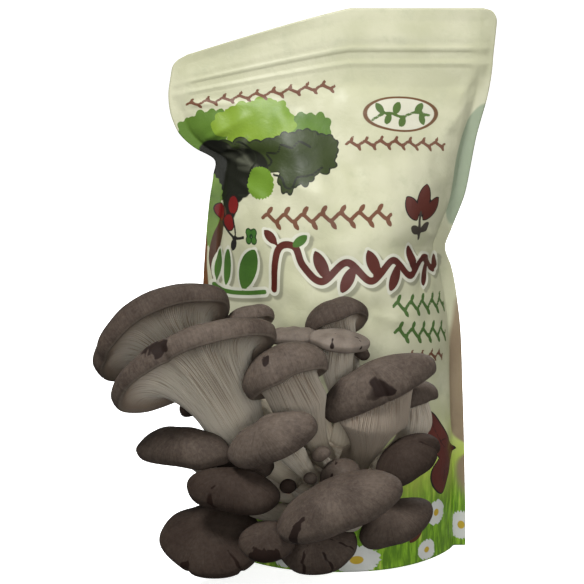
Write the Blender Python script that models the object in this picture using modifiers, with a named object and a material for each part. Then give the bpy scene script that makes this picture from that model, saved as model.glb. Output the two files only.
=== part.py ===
"""Oyster mushroom grow kit: a stand-up film pouch of straw substrate with a cluster growing from its front.

Frame: X to the right, Y away from the front, Z up. The origin is the centre of the pouch's base on
the floor. Lengths in the tables are in millimetres and become metres at MM.
"""
import bpy
import bmesh
import numpy as np

MM = 0.001
GAP = 0.3              # clear space between touching solids
FILM = 0.8             # thickness of the pouch film, seams included
POUCH_HEIGHT = 300.0
BASE_HALF_WIDTH = 73.5 # half the base's width on the left
SEAL_WIDTH = 7.0       # flat side seals
FILL_HEIGHT = 212.0    # top of the straw block
STRAW_LEVELS = (FILM + GAP + 0.2, 12, 50, 100, 150, 185, FILL_HEIGHT - 4)
STRAW_INSET, STRAW_TOP_INSET = 3.0, 12.0       # the block inside the pouch's outline
GUSSET_INSET = 1.6                             # the base film inside the pouch's outline
HOLE_RADIUS = 19.0     # opening cut in the front film
SEAM_RISE = (255.0, 268.0)        # the films part a little below the zip
SEAM_OFFSET = (GAP / 2 + FILM / 2 + 0.05, 1.9)
SLUMP_FROM, SLUMP_SPAN = 7.0, 96.0             # where the sag starts, and how far left it runs
SLUMP_START = 150.0                            # height above which the pouch sags
SLUMP_BACK, SLUMP_DOWN = 20.0, 27.0            # how far the top left corner goes back and down
HEAD_CENTRE = np.array([-4.0, -68.0, 57.0])    # fused foot of the cluster, outside the film
HEAD_RADII = np.array([24.0, 16.5, 24.0])
NECK_RADIUS = HOLE_RADIUS - 0.6
NECK_FRONT, NECK_BACK = -57.5, -47.4           # the neck that passes through the film
STEM_GAP = GAP + 0.2   # clear space between a stem's end and the foot
SIDES = 12             # facets round a large mushroom
SMALL_SIDES = 8        # facets round a small one
CAP_LIFT = 2.0         # the cap's margin above the stem's top
CROWN_SHIFT = 0.7      # share of the cap's middle by which its crown is ahead of the stem
ROLL_SHARE = 0.45      # how far the rim rolls in, by its height
LIP_IN, LIP_UP = 2.2, 2.0                      # from the rim's lowest line to where the gills start
HANDLE_SHARE = 0.36    # length of the stem path's Bezier handles, by the stem's
GILL_IN, GILL_UP = 0.75, 0.65                  # direction in which the gills leave the lip
GILL_FROM_LIP, GILL_FROM_STEM = 0.32, 0.45     # their handles, by the width between lip and stem

# Height, half width on the left, half width on the right, bulge of front and back.
POUCH_PROFILE = [
    (0.0, BASE_HALF_WIDTH, 74.0, 46.0), (6.0, BASE_HALF_WIDTH, 74.0, 46.0), (40.0, 73.0, 73.0, 48.5),
    (90.0, 73.0, 71.0, 48.5), (135.0, 74.0, 68.0, 47.0), (160.0, 73.0, 63.0, 45.0),
    (178.0, 71.5, 62.0, 42.0), (200.0, 69.5, 70.0, 35.0), (218.0, 66.5, 73.5, 27.0),
    (232.0, 78.0, 76.0, 20.0), (252.0, 90.0, 81.5, 9.5), (268.0, 92.5, 84.0, 3.0),
    (276.0, 92.5, 84.5, 2.0), (281.0, 92.0, 85.0, 1.8), (POUCH_HEIGHT, 90.0, 86.5, 0.8),
]

# Each mushroom: where the stem meets the cap, the direction of its root on the cluster's foot, the
# cap's upward normal and the way it grows out; cap reach ahead of and behind the stem, half width;
# stem radius at root and cap; dome and rim heights; how far the sides droop; how far down the stem
# the gills run (0 root, 1 cap); and the direction in which the stem arrives.
MUSHROOMS = {
    "mushroom_upper_left_back": dict(
        neck=(-91, -68, 137), bud=(-17, 3, 20), up=(-0.40, 0.60, 0.68), out=(-0.35, -0.7, 0.6), reach=29,
        back=20, half=39, root_r=5.5, neck_r=11, dome=11, rim=6.5, droop=7, join=0.6, arm=(-0.5, -0.25, 0.85)),
    "mushroom_upper_left_front": dict(
        neck=(-72, -96, 124), bud=(-22, -4, 8), up=(-0.36, 0.55, 0.75), out=(-0.35, -0.75, 0.55), reach=33,
        back=22, half=43, root_r=8, neck_r=16, dome=9, rim=6.5, droop=4, join=0.6, arm=(-0.65, -0.35, 0.7)),
    "mushroom_bud_top_left": dict(
        neck=(-48, -64, 144), bud=(-7, 6, 25), up=(-0.1, 0.5, 0.85), out=(0.1, -0.8, 0.5), reach=10, back=6,
        half=8, root_r=2.6, neck_r=3.6, dome=6, rim=3, sides=SMALL_SIDES),
    "mushroom_centre": dict(
        neck=(-27, -107, 121), bud=(-4, -11, 15), up=(-0.32, 0.22, 0.92), out=(-0.15, -0.9, 0.25), reach=20,
        back=16, half=22, root_r=5, neck_r=8, dome=11, rim=7, join=0.6, arm=(-0.45, -0.1, 1)),
    "mushroom_centre_behind": dict(
        neck=(-25, -80, 133), bud=(-3, 0, 25), up=(0, -0.1, 1), out=(0, -1, 0), reach=10, back=9, half=10,
        root_r=3.5, neck_r=4.5, dome=5, rim=3, sides=SMALL_SIDES),
    "mushroom_top_back": dict(
        neck=(-1, -66, 139), bud=(5, 8, 25), up=(-0.32, 0.55, 0.78), out=(-0.15, -0.75, 0.6), reach=14,
        back=13, half=17, root_r=4, neck_r=6, dome=9, rim=4.5),
    "mushroom_top_front": dict(
        neck=(-1, -86, 133), bud=(5, -3, 25), up=(0.12, -0.15, 1), out=(0.2, -1, 0), reach=12, back=11,
        half=15, root_r=4.5, neck_r=7, dome=5, rim=4),
    "mushroom_bud_top_right": dict(
        neck=(14, -70, 123), bud=(17, 5, 19), up=(0.4, -0.1, 0.9), out=(0.8, -0.5, 0), reach=5, back=4,
        half=5, root_r=3, neck_r=3.6, dome=3, rim=2, sides=SMALL_SIDES),
    "mushroom_right": dict(
        neck=(19, -99, 111), bud=(11, -10, 13), up=(-0.42, -0.25, 0.86), out=(0.15, -0.9, -0.15), reach=16,
        back=14, half=30, root_r=6, neck_r=13, dome=11, rim=6, join=0.66, arm=(0.25, -0.1, 1)),
    "mushroom_right_back": dict(
        neck=(38, -74, 103), bud=(23, 1, 9), up=(-0.3, 0.2, 0.9), out=(0.2, -0.95, 0.2), reach=9, back=9,
        half=11, root_r=4, neck_r=8, dome=7, rim=4, sides=SMALL_SIDES),
    "mushroom_lower_right": dict(
        neck=(33, -96, 75), bud=(23, -8, 0), up=(-0.45, -0.42, 0.8), out=(0.35, -0.8, -0.25), reach=14,
        back=10, half=18, root_r=4.5, neck_r=5.5, dome=9, rim=5, arm=(0.5, -0.6, 0.6)),
    "mushroom_bottom_right": dict(
        neck=(28, -92, 42), bud=(18, -6, -18), up=(-0.3, -0.5, 0.82), out=(0.3, -0.8, -0.4), reach=14,
        back=10, half=19, root_r=4.5, neck_r=5.5, dome=8, rim=5),
    "mushroom_front_right": dict(
        neck=(-2, -128, 63), bud=(8, -14, -10), up=(-0.33, -0.50, 0.80), out=(0.2, -0.82, -0.45), reach=18,
        back=12, half=32, root_r=6, neck_r=8, dome=10, rim=6),
    "mushroom_bottom_centre": dict(
        neck=(-11, -92, 31), bud=(3, -6, -24), up=(-0.2, -0.6, 0.77), out=(0, -0.75, -0.6), reach=18, back=10,
        half=20, root_r=4.5, neck_r=6, dome=8, rim=5, arm=(-0.1, -0.8, 0.35)),
    "mushroom_bottom_front": dict(
        neck=(-36, -120, 43), bud=(-10, -14, -10), up=(-0.1, -0.75, 0.65), out=(-0.1, -0.6, -0.75), reach=13,
        back=8, half=14, root_r=4, neck_r=5, dome=6, rim=4, arm=(-0.3, -0.8, -0.1), sides=SMALL_SIDES),
    "mushroom_left": dict(
        neck=(-76, -92, 81), bud=(-25, -5, -4), up=(-0.12, -0.42, 0.9), out=(-0.35, -0.85, -0.4), reach=14,
        back=9, half=24, root_r=4.5, neck_r=5.5, dome=8, rim=5),
    "mushroom_front_left": dict(
        neck=(-33, -118, 93), bud=(-9, -14, 7), up=(-0.55, -0.45, 0.70), out=(-0.1, -0.85, -0.45), reach=15,
        back=9, half=25, root_r=4, neck_r=7, dome=9, rim=5),
    "mushroom_lower_left": dict(
        neck=(-52, -108, 64), bud=(-20, -10, -12), up=(-0.05, -0.5, 0.86), out=(-0.25, -0.85, -0.5), reach=15,
        back=9, half=24, root_r=4.5, neck_r=5.5, dome=9, rim=5),
    "mushroom_bottom_left": dict(
        neck=(-61, -88, 38), bud=(-15, -4, -20), up=(-0.28, -0.55, 0.78), out=(-0.45, -0.7, -0.55), reach=30,
        back=14, half=28, root_r=5.5, neck_r=9, dome=8, rim=5),
    "mushroom_inner_right": dict(
        neck=(0, -105, 71), bud=(9, -15, 2), up=(-0.42, -0.6, 0.68), out=(0.1, -0.65, -0.6), reach=11,
        back=7, half=11, root_r=3.2, neck_r=4.5, dome=5, rim=3, sides=SMALL_SIDES),
    "mushroom_inner_top": dict(
        neck=(-9, -105, 80), bud=(-2, -16, 9), up=(-0.5, -0.4, 0.75), out=(0, -0.8, -0.4), reach=4, back=3.5,
        half=5, root_r=1.7, neck_r=2.4, dome=3, rim=2, sides=SMALL_SIDES),
    "mushroom_bud_centre": dict(
        neck=(-16, -111, 69), bud=(0, -16, -2), up=(0.3, -0.4, 0.85), out=(0.3, -0.9, 0), reach=3.4, back=3,
        half=3.6, root_r=2, neck_r=2.2, dome=2.5, rim=1.6, sides=SMALL_SIDES, arm=(-0.5, -0.6, 0.6)),
    "mushroom_bud_lower": dict(
        neck=(-26, -106, 64), bud=(-5, -15, -3), up=(-0.2, -0.6, 0.75), out=(0, -0.8, -0.5), reach=4,
        back=3.5, half=4.2, root_r=2, neck_r=2.4, dome=3, rim=1.8, sides=SMALL_SIDES),
    "mushroom_inner_left": dict(
        neck=(-36, -95, 68), bud=(-14, -14, -3), up=(-0.25, -0.25, 0.93), out=(-0.2, -0.95, -0.2), reach=9,
        back=7, half=12, root_r=3.5, neck_r=5, dome=5, rim=3.5, sides=SMALL_SIDES),
    "mushroom_bud_left": dict(
        neck=(-74, -64, 93), bud=(-25, 5, 6), up=(-0.2, 0.1, 0.95), out=(-0.7, -0.7, 0), reach=8, back=6,
        half=9, root_r=2.8, neck_r=3.6, dome=6, rim=3.5, sides=SMALL_SIDES),
}
CAP_RINGS = (0.45, 0.78, 0.95)     # share of the way from the crown to the margin
GILL_RINGS = (0.45, 0.78)          # share of the way from the rim to the stem
STEM_RINGS = (0.66, 0.33)          # share of the free stem, counted from the root
RIM_TURN = 0.6                     # how far round the rim's quarter turn its middle ring stands
PATH_STEPS = 40
HALF_COLUMNS = np.array([0, 0.16, 0.32, 0.48, 0.62, 0.74, 0.83, 0.9, 1.0])
FILM_COLUMNS = np.concatenate([-HALF_COLUMNS[:0:-1], HALF_COLUMNS])
ZIP_DEPTH = 1.2


def unit(v):
    v = np.asarray(v, float)
    return v / np.linalg.norm(v)


def bezier(a, b, c, d, t):
    t = np.asarray(t, float)[..., None]
    return (1 - t) ** 3 * a + 3 * (1 - t) ** 2 * t * b + 3 * (1 - t) * t * t * c + t ** 3 * d


def foot_point(bud):
    """Point just off the foot's surface in direction bud, and the surface normal there."""
    ray = unit(np.asarray(bud, float) / HEAD_RADII)
    normal = unit(ray / HEAD_RADII)
    return HEAD_CENTRE + ray * HEAD_RADII + normal * STEM_GAP, normal


def mushroom_rings(neck, bud, up, out, reach, back, half, root_r, neck_r, dome, rim,
                   droop=0.0, join=0.62, arm=None, sides=SIDES):
    """Rings from the crown over the margin, under the rolled rim, down the gills and the stem."""
    angle = np.arange(sides) * 2 * np.pi / sides
    root, root_dir = foot_point(bud)
    neck = np.array(neck, float)
    n = unit(up)
    d = unit(np.array(out, float) - np.dot(out, n) * n)
    s = np.cross(n, d)
    middle, length = (reach - back) / 2, (reach + back) / 2
    crown = neck + d * middle * CROWN_SHIFT
    plan = neck + np.outer(middle + length * np.cos(angle), d) + np.outer(half * np.sin(angle), s)
    sag = -droop * np.sin(angle) ** 2
    inward = crown - plan
    inward /= np.linalg.norm(inward, axis=1, keepdims=True)
    rings = [crown + n * (CAP_LIFT + dome)]
    for share in CAP_RINGS:
        height = CAP_LIFT + dome * (1 - share ** 2.4) ** 0.6 + sag * share ** 2.2
        rings.append(crown + (plan - crown) * share + np.outer(height, n))
    margin = plan + np.outer(CAP_LIFT + sag, n)
    roll = rim * ROLL_SHARE
    turn = RIM_TURN * np.pi / 2
    rings += [margin, margin + inward * roll * (1 - np.cos(turn)) - n * rim * np.sin(turn)]
    rings.append(margin + inward * roll - n * rim)
    lip = margin + inward * (roll + LIP_IN) - n * (rim - LIP_UP)

    arm = unit(n + 0.35 * d if arm is None else arm)
    span = np.linalg.norm(neck - root) * HANDLE_SHARE
    steps = np.linspace(1, 0, PATH_STEPS + 1)
    path = bezier(root, root + root_dir * span, neck - arm * span, neck, steps)
    along = -np.gradient(path, axis=0)
    along /= np.linalg.norm(along, axis=1, keepdims=True)
    first = d.copy()
    frames = []
    for tangent in along:
        first = unit(first - np.dot(first, tangent) * tangent)
        frames.append((first, np.cross(tangent, first)))

    def stem_ring(t):
        i = round((1 - t) * PATH_STEPS)
        radius = root_r + (neck_r - root_r) * t
        e1, e2 = frames[i]
        return path[i] + radius * (np.outer(np.cos(angle), e1) + np.outer(np.sin(angle), e2))

    shoulder = stem_ring(join)
    tangent = along[round((1 - join) * PATH_STEPS)]
    reach_in = np.linalg.norm(shoulder - lip, axis=1, keepdims=True)
    from_lip = lip + (inward * GILL_IN + n * GILL_UP) * reach_in * GILL_FROM_LIP
    to_stem = shoulder + tangent * reach_in * GILL_FROM_STEM
    rings.append(lip)
    for t in GILL_RINGS:
        rings.append(bezier(lip, from_lip, to_stem, shoulder, np.full(sides, t)))
    rings.append(shoulder)
    rings += [stem_ring(join * t) for t in STEM_RINGS] + [stem_ring(0.0), root]
    return rings


def loft(name, rings):
    """Skin a run of rings; a single point at either end closes it to a pole, a full ring to a flat cap."""
    bm = bmesh.new()
    rows = [[bm.verts.new(np.asarray(p) * MM) for p in np.atleast_2d(ring)] for ring in rings]
    for upper, lower in zip(rows[:-1], rows[1:]):
        count = max(len(upper), len(lower))
        for i in range(count):
            j = (i + 1) % count
            if len(upper) == 1:
                bm.faces.new((upper[0], lower[i], lower[j]))
            elif len(lower) == 1:
                bm.faces.new((upper[i], lower[0], upper[j]))
            else:
                bm.faces.new((upper[i], lower[i], lower[j], upper[j]))
    for row, order in ((rows[0], 1), (rows[-1], -1)):
        if len(row) > 1:
            bm.faces.new(row[::order])
    bmesh.ops.recalc_face_normals(bm, faces=bm.faces)
    return add_object(name, bm)


def add_object(name, bm):
    mesh = bpy.data.meshes.new(name)
    bm.to_mesh(mesh)
    bm.free()
    obj = bpy.data.objects.new(name, mesh)
    parts.objects.link(obj)
    return obj


def material(name, color, roughness, metallic=0.0):
    mat = bpy.data.materials.new(name)
    mat.use_nodes = True
    shader = mat.node_tree.nodes["Principled BSDF"]
    shader.inputs["Base Color"].default_value = (*color, 1.0)
    shader.inputs["Roughness"].default_value = roughness
    shader.inputs["Metallic"].default_value = metallic
    return mat


def paint(obj, mat, smooth_angle=50):
    obj.data.materials.append(mat)
    obj.data.shade_smooth()
    obj.data.set_sharp_from_angle(angle=np.radians(smooth_angle))
    return obj


def slump(points):
    """The pouch's top left corner sags back and down; everything up there follows."""
    x, y, z = np.moveaxis(np.asarray(points, float), -1, 0)
    side = np.clip((SLUMP_FROM - x) / SLUMP_SPAN, 0, 1.05)
    height = np.clip((z - SLUMP_START) / (POUCH_HEIGHT - SLUMP_START), 0, 1) ** 2
    return np.stack([x, y + SLUMP_BACK * side ** 2 * height, z - SLUMP_DOWN * side ** 1.1 * height], -1)


def pouch_size(z):
    table = np.array(POUCH_PROFILE)
    return [np.interp(z, table[:, 0], table[:, i]) for i in (1, 2, 3)]


def pouch_point(u, z):
    """Front film at -1 < u < 1 across and height z: flat seals at the sides, a rounded belly between."""
    left, right, bulge = pouch_size(z)
    half = np.where(u < 0, left, right)
    belly = np.clip(np.abs(u) * half / (half - SEAL_WIDTH), 0, 1)
    depth = bulge * (1 - belly ** 2.3) ** 0.8
    return np.stack([u * half, -depth, z + 0 * u], -1)


def film_panel(name, sign):
    """A grid carried onto the pouch's front (sign 1) or back (sign -1), thickened by Solidify."""
    across = FILM_COLUMNS
    heights = np.array([row[0] for row in POUCH_PROFILE])
    bm = bmesh.new()
    rows = []
    for z in heights:
        points = pouch_point(across, z)
        points[:, 1] = sign * (points[:, 1] - np.interp(z, SEAM_RISE, SEAM_OFFSET))
        rows.append([bm.verts.new(p * MM) for p in slump(points)])
    for low, high in zip(rows[:-1], rows[1:]):
        for i in range(len(across) - 1):
            face = (low[i], low[i + 1], high[i + 1], high[i])
            bm.faces.new(face if sign > 0 else face[::-1])
    obj = add_object(name, bm)
    shell = obj.modifiers.new("film", "SOLIDIFY")
    shell.thickness = FILM * MM
    shell.offset = 0
    return obj


def lens(z, grow, count=24):
    """Outline of the pouch's inside at height z, drawn in by grow."""
    rightward = np.linspace(-1, 1, count // 2, endpoint=False)
    t = np.concatenate([rightward, -rightward])
    side = np.repeat([1.0, -1.0], count // 2)
    left, right, bulge = pouch_size(z)
    half = np.where(t < 0, left, right) - SEAL_WIDTH - grow
    depth = np.maximum(bulge * (1 - np.abs(t) ** 2.3) ** 0.8 - grow, 0.6)
    return np.stack([t * half, -side * depth, np.full(count, z)], -1)


def gusset():
    outline = lens(0.0, GUSSET_INSET)
    return loft("pouch_bottom_gusset", [outline, outline + np.array([0, 0, FILM])])


def straw_block():
    rings = [lens(STRAW_LEVELS[0], STRAW_INSET + 2.0)]
    rings += [lens(z, STRAW_INSET) for z in STRAW_LEVELS[1:]]
    rings.append(slump(lens(FILL_HEIGHT, STRAW_TOP_INSET)))
    return loft("substrate_block", rings)


def zip_track(name, sign):
    """A bar along the inside of one film, just under the top, that follows the sagging corner."""
    low, high = POUCH_PROFILE[-3][0], POUCH_PROFILE[-2][0]
    rings = []
    for u in FILM_COLUMNS[1:-1]:
        section = []
        for z, depth in ((low, GAP / 2), (low, ZIP_DEPTH), (high, ZIP_DEPTH), (high, GAP / 2)):
            x = pouch_point(u, z)[..., 0]
            section.append((x, -sign * depth, z))
        rings.append(slump(np.array(section, float)))
    return loft(name, rings)


def cluster_foot():
    """Turned about a line along Y: a rounded head outside the film and a neck through the cut."""
    rise = HEAD_RADII[0]
    turns = np.radians([0, 22, 42, 60, 76, 92, 108, 122])
    profile = [(rise * np.sin(a), HEAD_CENTRE[1] - HEAD_RADII[1] * np.cos(a)) for a in turns]
    profile += [(NECK_RADIUS, NECK_FRONT), (NECK_RADIUS, NECK_BACK), (0.0, NECK_BACK)]
    bm = bmesh.new()
    verts = [bm.verts.new(np.array([r, 0, -y]) * MM) for r, y in profile]
    for a, b in zip(verts[:-1], verts[1:]):
        bm.edges.new((a, b))
    obj = add_object("cluster_foot", bm)
    turn = obj.modifiers.new("turn", "SCREW")
    turn.steps = turn.render_steps = 20
    turn.use_merge_vertices = True
    turn.merge_threshold = 0.0001
    turn.use_normal_calculate = True
    obj.rotation_euler = (np.radians(90), 0, 0)
    obj.location = np.array([HEAD_CENTRE[0], 0, HEAD_CENTRE[2]]) * MM
    return obj


def cut_opening(panel):
    bpy.ops.mesh.primitive_cylinder_add(vertices=28, radius=HOLE_RADIUS * MM, depth=60 * MM,
                                        rotation=(np.radians(90), 0, 0),
                                        location=np.array([HEAD_CENTRE[0], -50, HEAD_CENTRE[2]]) * MM)
    cutter = bpy.context.object
    cutter.name = "opening_cutter"
    cutter.display_type = "WIRE"
    cutter.hide_render = True
    for collection in cutter.users_collection:
        collection.objects.unlink(cutter)
    cutters.objects.link(cutter)
    cut = panel.modifiers.new("opening", "BOOLEAN")
    cut.operation = "DIFFERENCE"
    cut.object = cutter


for old in list(bpy.data.objects):
    bpy.data.objects.remove(old)
parts = bpy.data.collections.new("oyster_mushroom_grow_kit")
cutters = bpy.data.collections.new("cutters")
for collection in (parts, cutters):
    bpy.context.scene.collection.children.link(collection)

film = material("cream_film", (0.62, 0.61, 0.44), 0.45)
straw = material("straw_substrate", (0.55, 0.42, 0.24), 0.9)
foot_flesh = material("foot_flesh", (0.55, 0.5, 0.42), 0.75)
cap_skin = material("cap_skin", (0.13, 0.11, 0.095), 0.7)

front = paint(film_panel("pouch_front_panel", 1), film)
cut_opening(front)
paint(film_panel("pouch_back_panel", -1), film)
paint(gusset(), film)
paint(zip_track("zip_track_front", 1), film)
paint(zip_track("zip_track_back", -1), film)
paint(straw_block(), straw)
paint(cluster_foot(), foot_flesh)
for name, shape in MUSHROOMS.items():
    paint(loft(name, mushroom_rings(**shape)), cap_skin)
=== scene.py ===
import bpy
import numpy as np
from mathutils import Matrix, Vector


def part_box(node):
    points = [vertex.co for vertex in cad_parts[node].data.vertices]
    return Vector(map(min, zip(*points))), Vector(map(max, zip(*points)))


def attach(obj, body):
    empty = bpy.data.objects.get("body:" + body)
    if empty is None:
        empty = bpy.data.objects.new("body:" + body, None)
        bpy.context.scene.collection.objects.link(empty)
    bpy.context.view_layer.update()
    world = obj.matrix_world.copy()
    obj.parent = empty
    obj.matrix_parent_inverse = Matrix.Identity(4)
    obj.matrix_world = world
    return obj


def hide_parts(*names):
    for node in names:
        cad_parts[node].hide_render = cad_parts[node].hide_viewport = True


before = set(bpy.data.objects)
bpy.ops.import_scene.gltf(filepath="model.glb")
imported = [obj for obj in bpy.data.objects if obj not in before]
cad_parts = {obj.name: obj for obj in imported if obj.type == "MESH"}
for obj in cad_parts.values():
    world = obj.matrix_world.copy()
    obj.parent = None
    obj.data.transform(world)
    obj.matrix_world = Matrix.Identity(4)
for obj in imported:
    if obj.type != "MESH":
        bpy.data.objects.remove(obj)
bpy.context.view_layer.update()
print("frame loaded with", len(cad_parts), "nodes")

mm = 0.001
fullTurn = 2 * np.pi


def unit(v):
    v = np.asarray(v, float)
    return v / np.linalg.norm(v, axis=-1, keepdims=True)


# 0 below low, 1 above high, a soft step between
def step(x, low, high):
    t = np.clip((x - low) / (high - low), 0, 1)
    return t * t * (3 - 2 * t)


# a cubic curve through points, its slope at each the mean of the slopes beside it
def through(x, xs, ys):
    xs, ys = np.asarray(xs, float), np.asarray(ys, float)
    slope = np.gradient(ys, xs)
    i = np.clip(np.searchsorted(xs, x) - 1, 0, len(xs) - 2)
    h = xs[i + 1] - xs[i]
    t = (x - xs[i]) / h
    return ((2 * t ** 3 - 3 * t ** 2 + 1) * ys[i] + (t ** 3 - 2 * t ** 2 + t) * h * slope[i]
            + (3 * t ** 2 - 2 * t ** 3) * ys[i + 1] + (t ** 3 - t ** 2) * h * slope[i + 1])


# cubic Bezier from a to d with handles b and c
def bezier(a, b, c, d, t):
    t = np.asarray(t, float)[..., None]
    return (1 - t) ** 3 * a + 3 * (1 - t) ** 2 * t * b + 3 * (1 - t) * t * t * c + t ** 3 * d


# soft irregular relief: a sum of cosine waves of about one wavelength, in random directions
def ripples(points, size, seed, waves=14):
    rng = np.random.default_rng(seed)
    total = np.zeros(points.shape[:-1])
    for _ in range(waves):
        direction = unit(rng.normal(size=points.shape[-1])) / (size * rng.uniform(0.7, 1.5))
        total += np.cos(fullTurn * (points @ direction + rng.uniform()))
    return total / np.sqrt(waves / 2)


# the same round a closed outline: cosines of whole wave numbers, the higher ones weaker
def wander(angle, seed, low=2, high=7):
    rng = np.random.default_rng(seed)
    total = np.zeros_like(angle)
    for k in range(low, high + 1):
        total += rng.normal() * np.cos(k * angle + rng.uniform(0, fullTurn)) / k
    return total


# A grid of points (rows, columns, 3) in metres as one mesh. wrap joins the last column to the first,
# poles close the first and last rows, values are point attributes of the grid's shape, and only the
# quads whose corners are all in keep are made.
def gridPiece(name, points, material, wrap=False, poles=None, values=None, flip=False, keep=None):
    rows, columns = points.shape[:2]
    index = np.arange(rows * columns).reshape(rows, columns)
    here = index if wrap else index[:, :-1]
    beside = np.roll(index, -1, axis=1) if wrap else index[:, 1:]
    quads = np.stack([here[:-1], here[1:], beside[1:], beside[:-1]], -1).reshape(-1, 4)
    corners = points.reshape(-1, 3)
    if keep is not None:
        quads = quads[keep.reshape(-1)[quads].all(axis=1)]
        used, quads = np.unique(quads, return_inverse=True)
        quads = quads.reshape(-1, 4)
        corners = corners[used]
    fans = np.zeros((0, 3), int)
    if poles is not None:
        first, last = len(corners), len(corners) + 1
        corners = np.vstack([corners, poles])
        top = np.stack([np.full(columns, first), here[0], beside[0]], -1)
        bottom = np.stack([here[-1], np.full(columns, last), beside[-1]], -1)
        fans = np.vstack([top, bottom])
    if flip:
        quads, fans = quads[:, ::-1], fans[:, ::-1]
    mesh = bpy.data.meshes.new(name)
    mesh.vertices.add(len(corners))
    mesh.vertices.foreach_set("co", corners.astype(np.float32).ravel())
    mesh.loops.add(quads.size + fans.size)
    mesh.loops.foreach_set("vertex_index", np.concatenate([quads.ravel(), fans.ravel()]).astype(np.int32))
    mesh.polygons.add(len(quads) + len(fans))
    starts = np.concatenate([np.arange(len(quads)) * 4, quads.size + np.arange(len(fans)) * 3])
    mesh.polygons.foreach_set("loop_start", starts.astype(np.int32))
    mesh.update(calc_edges=True)
    mesh.shade_smooth()
    for key, grid in (values or {}).items():
        vector = grid.ndim == 3
        flat = grid.reshape(-1, 3) if vector else grid.reshape(-1)
        if keep is not None:
            flat = flat[used]
        if poles is not None:
            flat = np.concatenate([flat, [grid[0].mean(0), grid[-1].mean(0)]])
        layer = mesh.attributes.new(key, "FLOAT_VECTOR" if vector else "FLOAT", "POINT")
        layer.data.foreach_set("vector" if vector else "value", flat.astype(np.float32).ravel())
    piece = bpy.data.objects.new(name, mesh)
    bpy.context.scene.collection.objects.link(piece)
    mesh.materials.append(material)
    return piece


class Finish:
    # a Principled material with short calls for the nodes that its look needs
    def __init__(self, name, color, roughness, sockets=None):
        self.material = bpy.data.materials.new(name)
        self.material.use_nodes = True
        self.tree = self.material.node_tree
        self.shader = self.tree.nodes["Principled BSDF"]
        self.set("Base Color", color)
        self.set("Roughness", roughness)
        for key, value in (sockets or {}).items():
            self.set(key, value)

    # links a node's output, and sets anything else on the socket itself
    def feed(self, target, value):
        if isinstance(value, bpy.types.NodeSocket):
            self.tree.links.new(value, target)
        else:
            target.default_value = (*value, 1.0) if target.type == "RGBA" else value

    def set(self, socket, value):
        self.feed(self.shader.inputs[socket], value)

    def node(self, kind, inputs=None, **settings):
        made = self.tree.nodes.new("ShaderNode" + kind)
        for key, value in settings.items():
            setattr(made, key, value)
        for key, value in (inputs or {}).items():
            self.feed(made.inputs[key], value)
        return made

    # where a point is on its object, drawn out by a scale of less than 1
    def place(self, scale=(1, 1, 1)):
        coordinates = self.node("TexCoord").outputs["Object"]
        return self.node("Mapping", {"Vector": coordinates, "Scale": scale}).outputs[0]

    def attribute(self, name, output="Fac"):
        return self.node("Attribute", attribute_name=name).outputs[output]

    def noise(self, where, scale, detail=4.0, roughness=0.55, distortion=0.0):
        return self.node("TexNoise", {"Vector": where, "Scale": scale, "Detail": detail,
                                      "Roughness": roughness, "Distortion": distortion}).outputs["Fac"]

    # 0 at low and 1 at high, which may be the smaller of the two
    def ramp(self, value, low, high, kind="SMOOTHSTEP"):
        return self.node("MapRange", {"Value": value, "From Min": low, "From Max": high},
                         interpolation_type=kind).outputs[0]

    def math(self, operation, a, b):
        return self.node("Math", {0: a, 1: b}, operation=operation).outputs[0]

    def times(self, a, b):
        return self.math("MULTIPLY", a, b)

    def mix(self, share, a, b):
        return self.node("Mix", {0: share, 6: a, 7: b}, data_type="RGBA").outputs[2]

    def bump(self, height, distance, strength):
        made = self.node("Bump", {"Height": height, "Distance": distance, "Strength": strength})
        self.set("Normal", made.outputs[0])


flesh = {
    "capDark": (0.050, 0.037, 0.029), "capMid": (0.080, 0.0615, 0.0485), "capLight": (0.125, 0.098, 0.077),
    "capPale": (0.235, 0.20, 0.165), "gillPale": (0.50, 0.455, 0.375), "gillBrownAndShade": (0.135, 0.102, 0.076),
    "gillValleyShade": (0.17, 0.125, 0.088), "stemPale": (0.50, 0.445, 0.345),
    "bruise": (0.014, 0.008, 0.006), "rim": (0.34, 0.295, 0.23),
    "cloudScale": 55.0, "mottleScale": 520.0, "speckScale": 900.0, "toneShares": (0.4, 0.22, 0.38),
    "roughness": (0.8, 0.6), "specular": 0.14, "subsurface": 0.08, "bumpDepth": 0.0005, "bumpStrength": 0.35,
}


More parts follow.
